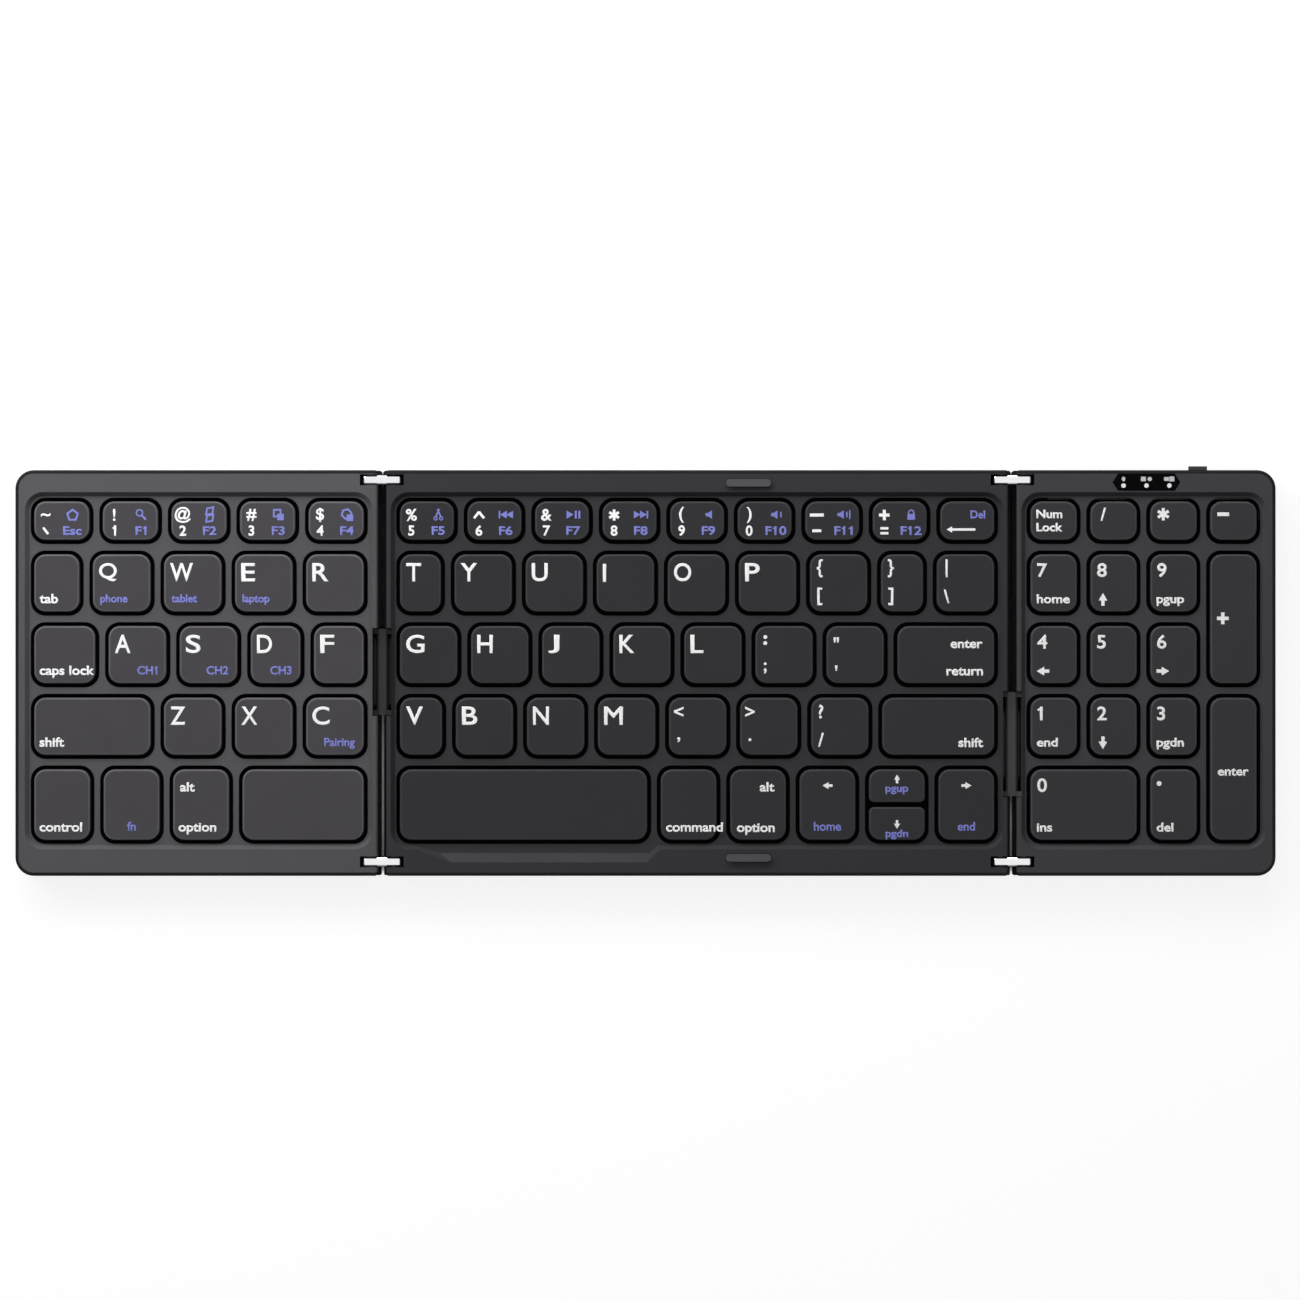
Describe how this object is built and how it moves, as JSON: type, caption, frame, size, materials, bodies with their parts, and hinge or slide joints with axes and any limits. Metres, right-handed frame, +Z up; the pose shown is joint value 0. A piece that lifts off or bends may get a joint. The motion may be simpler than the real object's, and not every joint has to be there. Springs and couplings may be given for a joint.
{
  "type": "folding keyboard",
  "caption": "Thin folding keyboard with number pad: side panels fold over the centre panel on double-axis hinges, keys press down, power switch slides.",
  "frame": {"origin": "middle of the footprint on the table, with the keyboard laid open", "axes": "+X to the right along the rows, +Y towards the rear edge, +Z up"},
  "size_m": [0.305, 0.0992, 0.0088],
  "materials": {
    "left_shell": "satin",
    "centre_shell": "satin",
    "numpad_shell": "satin",
    "back_shell": "fine textured",
    "left_keycap": "matte",
    "centre_keycap": "matte",
    "numpad_keycap": "matte",
    "plate_steel": "plain",
    "membrane_film": "satin film",
    "dome_rubber": "matte",
    "scissor_plastic": "satin",
    "screw_steel": "black oxide",
    "foot_rubber": "matte",
    "bumper_rubber": "matte",
    "magnet_nickel": "plated",
    "battery_foil": "satin foil",
    "board_green": "lacquered",
    "port_steel": "bright",
    "window_black": "gloss",
    "light_pipe_clear": "clear",
    "switch_black": "matte",
    "link_chrome": "polished",
    "pin_steel": "ground",
    "bridge_plastic": "satin",
    "cable_polyimide": "black film"
  },
  "bodies": {
    "centre_panel": {"centre_top_frame": "centre_shell", "centre_back_cover": "back_shell", "centre_support_plate": "plate_steel", "centre_membrane": "membrane_film", "centre_rubber_domes": "dome_rubber", "centre_scissor_links": "scissor_plastic", "centre_screws": "screw_steel", "centre_feet": "foot_rubber", "centre_magnets": "magnet_nickel", "fold_bumpers": "bumper_rubber"},
    "left_hinge": {"left_rear_link": "link_chrome", "left_front_link": "link_chrome", "left_hinge_pins": "pin_steel", "left_cable_bridge": "bridge_plastic", "left_flex_cable": "cable_polyimide"},
    "left_panel": {"left_top_frame": "left_shell", "left_back_cover": "back_shell", "left_support_plate": "plate_steel", "left_membrane": "membrane_film", "left_rubber_domes": "dome_rubber", "left_scissor_links": "scissor_plastic", "left_screws": "screw_steel", "left_feet": "foot_rubber", "left_magnets": "magnet_nickel"},
    "right_hinge": {"right_rear_link": "link_chrome", "right_front_link": "link_chrome", "right_hinge_pins": "pin_steel", "right_cable_bridge": "bridge_plastic", "right_flex_cable": "cable_polyimide"},
    "numpad_panel": {"numpad_top_frame": "numpad_shell", "numpad_back_cover": "back_shell", "numpad_support_plate": "plate_steel", "numpad_membrane": "membrane_film", "numpad_rubber_domes": "dome_rubber", "numpad_scissor_links": "scissor_plastic", "numpad_screws": "screw_steel", "numpad_feet": "foot_rubber", "numpad_magnets": "magnet_nickel", "battery": "battery_foil", "control_board": "board_green", "charging_port": "port_steel", "status_window": "window_black", "light_pipes": "light_pipe_clear", "power_switch": "switch_black"},
    "left_keys_row1": {"left_keys_row1": "left_keycap"},
    "left_keys_row2": {"left_keys_row2": "left_keycap"},
    "left_keys_row3": {"left_keys_row3": "left_keycap"},
    "left_keys_row4": {"left_keys_row4": "left_keycap"},
    "left_keys_row5": {"left_keys_row5": "left_keycap"},
    "centre_keys_row1": {"centre_keys_row1": "centre_keycap"},
    "centre_keys_row2": {"centre_keys_row2": "centre_keycap"},
    "centre_keys_row3": {"centre_keys_row3": "centre_keycap"},
    "centre_keys_row4": {"centre_keys_row4": "centre_keycap"},
    "centre_keys_row5": {"centre_keys_row5": "centre_keycap"},
    "numpad_keys_row1": {"numpad_keys_row1": "numpad_keycap"},
    "numpad_keys_row2": {"numpad_keys_row2": "numpad_keycap"},
    "numpad_keys_row3": {"numpad_keys_row3": "numpad_keycap"},
    "numpad_keys_row4": {"numpad_keys_row4": "numpad_keycap"},
    "numpad_keys_row5": {"numpad_keys_row5": "numpad_keycap"},
    "power_knob": {"power_switch_knob": "switch_black"}
  },
  "joints": [
    {"name": "left_inner_axis", "type": "hinge", "parent": "centre_panel", "child": "left_hinge", "pos_m": [-0.061, 0, 0.0056], "axis": [0, 1, 0], "range_deg": [0, 90]},
    {"name": "left_outer_axis", "type": "hinge", "parent": "left_hinge", "child": "left_panel", "pos_m": [-0.0666, 0, 0.0056], "axis": [0, 1, 0], "range_deg": [0, 90]},
    {"name": "right_inner_axis", "type": "hinge", "parent": "centre_panel", "child": "right_hinge", "pos_m": [0.086, 0, 0.0056], "axis": [0, -1, 0], "range_deg": [0, 90]},
    {"name": "right_outer_axis", "type": "hinge", "parent": "right_hinge", "child": "numpad_panel", "pos_m": [0.0916, 0, 0.0056], "axis": [0, -1, 0], "range_deg": [0, 90]},
    {"name": "left_row1_press", "type": "slide", "parent": "left_panel", "child": "left_keys_row1", "axis": [0, 0, -1], "range_m": [0, 0.0014], "stiffness_N_per_m": 350, "springref_m": -0.0006, "deforming": ["left_rubber_domes", "left_scissor_links"]},
    {"name": "left_row2_press", "type": "slide", "parent": "left_panel", "child": "left_keys_row2", "axis": [0, 0, -1], "range_m": [0, 0.0014], "stiffness_N_per_m": 350, "springref_m": -0.0006, "deforming": ["left_rubber_domes", "left_scissor_links"]},
    {"name": "left_row3_press", "type": "slide", "parent": "left_panel", "child": "left_keys_row3", "axis": [0, 0, -1], "range_m": [0, 0.0014], "stiffness_N_per_m": 350, "springref_m": -0.0006, "deforming": ["left_rubber_domes", "left_scissor_links"]},
    {"name": "left_row4_press", "type": "slide", "parent": "left_panel", "child": "left_keys_row4", "axis": [0, 0, -1], "range_m": [0, 0.0014], "stiffness_N_per_m": 350, "springref_m": -0.0006, "deforming": ["left_rubber_domes", "left_scissor_links"]},
    {"name": "left_row5_press", "type": "slide", "parent": "left_panel", "child": "left_keys_row5", "axis": [0, 0, -1], "range_m": [0, 0.0014], "stiffness_N_per_m": 350, "springref_m": -0.0006, "deforming": ["left_rubber_domes", "left_scissor_links"]},
    {"name": "centre_row1_press", "type": "slide", "parent": "centre_panel", "child": "centre_keys_row1", "axis": [0, 0, -1], "range_m": [0, 0.0014], "stiffness_N_per_m": 350, "springref_m": -0.0006, "deforming": ["centre_rubber_domes", "centre_scissor_links"]},
    {"name": "centre_row2_press", "type": "slide", "parent": "centre_panel", "child": "centre_keys_row2", "axis": [0, 0, -1], "range_m": [0, 0.0014], "stiffness_N_per_m": 350, "springref_m": -0.0006, "deforming": ["centre_rubber_domes", "centre_scissor_links"]},
    {"name": "centre_row3_press", "type": "slide", "parent": "centre_panel", "child": "centre_keys_row3", "axis": [0, 0, -1], "range_m": [0, 0.0014], "stiffness_N_per_m": 350, "springref_m": -0.0006, "deforming": ["centre_rubber_domes", "centre_scissor_links"]},
    {"name": "centre_row4_press", "type": "slide", "parent": "centre_panel", "child": "centre_keys_row4", "axis": [0, 0, -1], "range_m": [0, 0.0014], "stiffness_N_per_m": 350, "springref_m": -0.0006, "deforming": ["centre_rubber_domes", "centre_scissor_links"]},
    {"name": "centre_row5_press", "type": "slide", "parent": "centre_panel", "child": "centre_keys_row5", "axis": [0, 0, -1], "range_m": [0, 0.0014], "stiffness_N_per_m": 350, "springref_m": -0.0006, "deforming": ["centre_rubber_domes", "centre_scissor_links"]},
    {"name": "numpad_row1_press", "type": "slide", "parent": "numpad_panel", "child": "numpad_keys_row1", "axis": [0, 0, -1], "range_m": [0, 0.0014], "stiffness_N_per_m": 350, "springref_m": -0.0006, "deforming": ["numpad_rubber_domes", "numpad_scissor_links"]},
    {"name": "numpad_row2_press", "type": "slide", "parent": "numpad_panel", "child": "numpad_keys_row2", "axis": [0, 0, -1], "range_m": [0, 0.0014], "stiffness_N_per_m": 350, "springref_m": -0.0006, "deforming": ["numpad_rubber_domes", "numpad_scissor_links"]},
    {"name": "numpad_row3_press", "type": "slide", "parent": "numpad_panel", "child": "numpad_keys_row3", "axis": [0, 0, -1], "range_m": [0, 0.0014], "stiffness_N_per_m": 350, "springref_m": -0.0006, "deforming": ["numpad_rubber_domes", "numpad_scissor_links"]},
    {"name": "numpad_row4_press", "type": "slide", "parent": "numpad_panel", "child": "numpad_keys_row4", "axis": [0, 0, -1], "range_m": [0, 0.0014], "stiffness_N_per_m": 350, "springref_m": -0.0006, "deforming": ["numpad_rubber_domes", "numpad_scissor_links"]},
    {"name": "numpad_row5_press", "type": "slide", "parent": "numpad_panel", "child": "numpad_keys_row5", "axis": [0, 0, -1], "range_m": [0, 0.0014], "stiffness_N_per_m": 350, "springref_m": -0.0006, "deforming": ["numpad_rubber_domes", "numpad_scissor_links"]},
    {"name": "power_slide", "type": "slide", "parent": "numpad_panel", "child": "power_knob", "axis": [-1, 0, 0], "range_m": [0, 0.002]}
  ]
}
